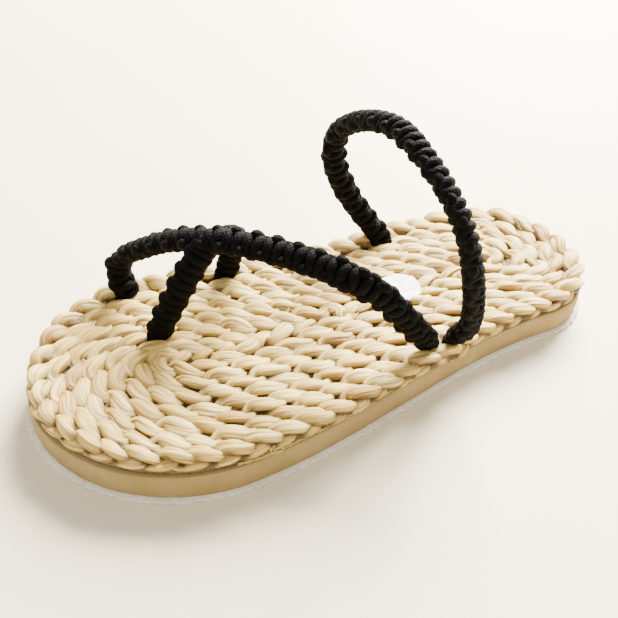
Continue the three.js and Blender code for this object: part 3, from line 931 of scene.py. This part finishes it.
cord_radius = 2.05
root_cord = 0.55
fatness_jog = 0.04
edge_jog = 0.15
back_inset = 0.4
root_thick = 5.2
root_length = 6.0
spread_length = 10.0
samples_per_knot = 12
route_steps = 24
station_reach = 0.5
edge_dwell = 0.6
bar_hurry = 0.72
face_dip = 0.62
back_dip = 0.25
plait_length = 12.6
core_margin = {"wide": 2.6, "thick": 2.2}
straps = {
    "instep": {
        "half_knot": 4.15, "width": 12.0, "thick": 8.8, "roots": (11, 8),
        "twist": ((0, 0), (0.25, 32), (0.85, 32), (1, 0)),
        "route": [
            (195.6, -48.6, foam_top), (195.6, -48.6, 20.5), (196.9, -52.2, 27.5), (194.8, -52, 34.8),
            (187.6, -45, 42.2), (177, -32, 51.8), (164.6, -16.5, 58.4), (151, -1, 60.6),
            (138.4, 13, 60), (127.8, 24.5, 57.2), (119.4, 28.8, 51.2), (112.6, 30.6, 43),
            (104.6, 31.4, 32.4), (97.4, 30.6, 23), (95.6, 29.6, 18), (95.6, 29.6, foam_top),
        ],
    },
    "post": {
        "half_knot": 3.5, "width": 12.4, "thick": 8.8, "roots": (12, 0), "twist": ((0, 0), (1, 0)),
        "route": [
            (190.4, -18.6, foam_top), (190.4, -18.6, 20.5), (186.2, -17.6, 30.5),
            (180, -17.4, 41.5), (173, -19, 51), (167.5, -21, 56),
        ],
    },
    "side": {
        "half_knot": 3.7, "width": 12.0, "thick": 8.8, "roots": (0, 11), "twist": ((0, 0), (1, 0)),
        "route": [
            (167, -19, 54.5), (160.5, -25.5, 52.6), (153.4, -34.5, 46.2), (149.4, -42.6, 37.4),
            (149.6, -46, 28), (153, -44.8, 20), (153.4, -44.6, foam_top),
        ],
    },
    "ankle": {
        "half_knot": 4.15, "width": 11.4, "thick": 8.8, "roots": (8, 11),
        "twist": ((0, 20), (0.12, 50), (0.34, 50), (0.5, 0), (1, 0)),
        "route": [
            (86, 29.4, foam_top), (86, 29.6, 19.5), (84.6, 37, 30.5), (90.6, 43, 56),
            (94.3, 38, 76.8), (95.6, 27, 86.6), (97.4, 12, 94), (97.8, -7, 96.4), (100.6, -27, 90.4),
            (103.8, -41, 79.4), (102.6, -46, 64.2), (94, -47, 44.4), (83, -44.6, 27.6),
            (78, -40.8, 19.5), (77.8, -40.6, foam_top),
        ],
    },
}


def rounded_route(route):
    """Points on a centripetal curve through the route, closely spaced."""
    knots = [np.array(point, float) for point in route]
    knots = [2 * knots[0] - knots[1]] + knots + [2 * knots[-1] - knots[-2]]
    fine = []
    for p0, p1, p2, p3 in zip(knots, knots[1:], knots[2:], knots[3:]):
        t1 = np.linalg.norm(p1 - p0) ** 0.5
        t2 = t1 + np.linalg.norm(p2 - p1) ** 0.5
        t3 = t2 + np.linalg.norm(p3 - p2) ** 0.5
        for t in np.linspace(t1, t2, route_steps, endpoint=False):
            a1 = (t1 - t) / t1 * p0 + t / t1 * p1
            a2 = (t2 - t) / (t2 - t1) * p1 + (t - t1) / (t2 - t1) * p2
            a3 = (t3 - t) / (t3 - t2) * p2 + (t - t2) / (t3 - t2) * p3
            b1 = (t2 - t) / t2 * a1 + t / t2 * a2
            b2 = (t3 - t) / (t3 - t1) * a2 + (t - t1) / (t3 - t1) * a3
            fine.append((t2 - t) / (t2 - t1) * b1 + (t - t1) / (t2 - t1) * b2)
    fine.append(knots[-2])
    return np.array(fine)


def along_route(fine, walked, where):
    return np.column_stack([np.interp(where, walked, fine[:, i]) for i in range(3)])


def strap_stations(strap, fine, walked, where):
    """At distances along a strap: its middle, side and face axes, width and thickness."""
    length = walked[-1]
    where = np.clip(where, 0, length)
    centre = along_route(fine, walked, where)
    ahead = along_route(fine, walked, np.minimum(where + station_reach, length))
    behind = along_route(fine, walked, np.maximum(where - station_reach, 0))
    run = unit(ahead - behind)
    side = unit(np.array([1.0, 0, 0]) - run[:, :1] * run)
    face = np.cross(run, side)
    share, angle = zip(*strap["twist"])
    twist = np.radians(np.interp(where / length, share, angle))[:, None]
    side, face = side * np.cos(twist) + face * np.sin(twist), face * np.cos(twist) - side * np.sin(twist)
    width = np.full(len(where), strap["width"])
    thick = np.full(len(where), strap["thick"])
    for root_width, distance in ((strap["roots"][0], where), (strap["roots"][1], length - where)):
        if root_width:
            spread = eased(np.clip((distance - root_length) / spread_length, 0, 1))
            width = np.minimum(width, root_width + (strap["width"] - root_width) * spread)
            thick = np.minimum(thick, root_thick + (strap["thick"] - root_thick) * spread)
    return centre, side, face, width, thick


def carried(run):
    """Side axes carried along a run without turning about it."""
    sides = np.empty_like(run)
    axis = np.array([0.3, 0.9, 0.4])
    for number, ahead in enumerate(run):
        axis = axis - axis.dot(ahead) * ahead
        axis /= np.linalg.norm(axis)
        sides[number] = axis
    return sides


ring_turn = np.linspace(0, 2 * np.pi, 16, endpoint=False)[None, :]


def cord_tube(points, radius):
    run = unit(np.gradient(points, axis=0))
    side = carried(run)
    up = np.cross(run, side)
    length = np.concatenate(([0], np.cumsum(np.linalg.norm(np.diff(points, axis=0), axis=1))))
    rings = points[:, None, :] + radius[:, None, None] * (
        side[:, None, :] * np.cos(ring_turn)[..., None] + up[:, None, :] * np.sin(ring_turn)[..., None]
    )
    return {"rings": rings, "closed": False, "v": length / plait_length, "low": np.zeros(rings.shape[:2])}


def knotted_cords(strap, seed):
    """The face cord, the back cord and the core of one strap, knotted from end to end."""
    fine = rounded_route(strap["route"])
    walked = np.concatenate(([0], np.cumsum(np.linalg.norm(np.diff(fine, axis=0), axis=1))))
    half_knots = round(walked[-1] / strap["half_knot"])
    pitch = walked[-1] / half_knots
    t = np.arange(half_knots * samples_per_knot + 1) / samples_per_knot
    draw = random.Random(seed)
    jog = np.array([draw.uniform(-1, 1) for _ in range(half_knots + 2)])[np.floor(t + 0.5).astype(int)]
    crossing = np.cos(np.pi * t)
    crossing = np.sign(crossing) * np.abs(crossing) ** edge_dwell
    bar = -np.cos(2 * np.pi * t)
    advance = t + bar_hurry * np.sin(2 * np.pi * t) / (2 * np.pi)
    centre, side, face, width, thick = strap_stations(strap, fine, walked, advance * pitch)
    radius = np.minimum(cord_radius, thick / 4 + root_cord)
    tubes = []
    for sign, inset, dip in ((1, 0.0, face_dip), (-1, back_inset, back_dip)):
        reach = width / 2 - radius - inset
        across = -sign * crossing * (reach + edge_jog * (0.5 - 0.5 * bar) * jog)
        out = sign * (thick / 2 - radius) * np.where(bar > 0, bar, dip * bar)
        points = centre + side * across[:, None] + face * out[:, None]
        tubes.append(cord_tube(points, radius * (1 + fatness_jog * jog)))
    centre, side, face, width, thick = strap_stations(strap, fine, walked, t * pitch)
    half_width = (width / 2 - core_margin["wide"])[:, None]
    half_thick = (thick / 2 - core_margin["thick"])[:, None]
    core = centre[:, None, :] + (
        side[:, None, :] * (half_width * np.cos(ring_turn))[..., None]
        + face[:, None, :] * (half_thick * np.sin(ring_turn))[..., None]
    )
    tubes.append({"rings": core, "closed": False, "v": t, "low": np.ones(core.shape[:2])})
    return tubes


toe_tubes = []
for name, seed in (("instep", 5), ("post", 6), ("side", 7)):
    toe_tubes += knotted_cords(straps[name], seed)
as_piece("toe_strap_knots", tube_mesh("toe_strap_knots", toe_tubes), black_cord, "cord", "toe_straps")
ankle_mesh = tube_mesh("ankle_strap_knots", knotted_cords(straps["ankle"], 9))
as_piece("ankle_strap_knots", ankle_mesh, black_cord, "cord", "ankle_strap")
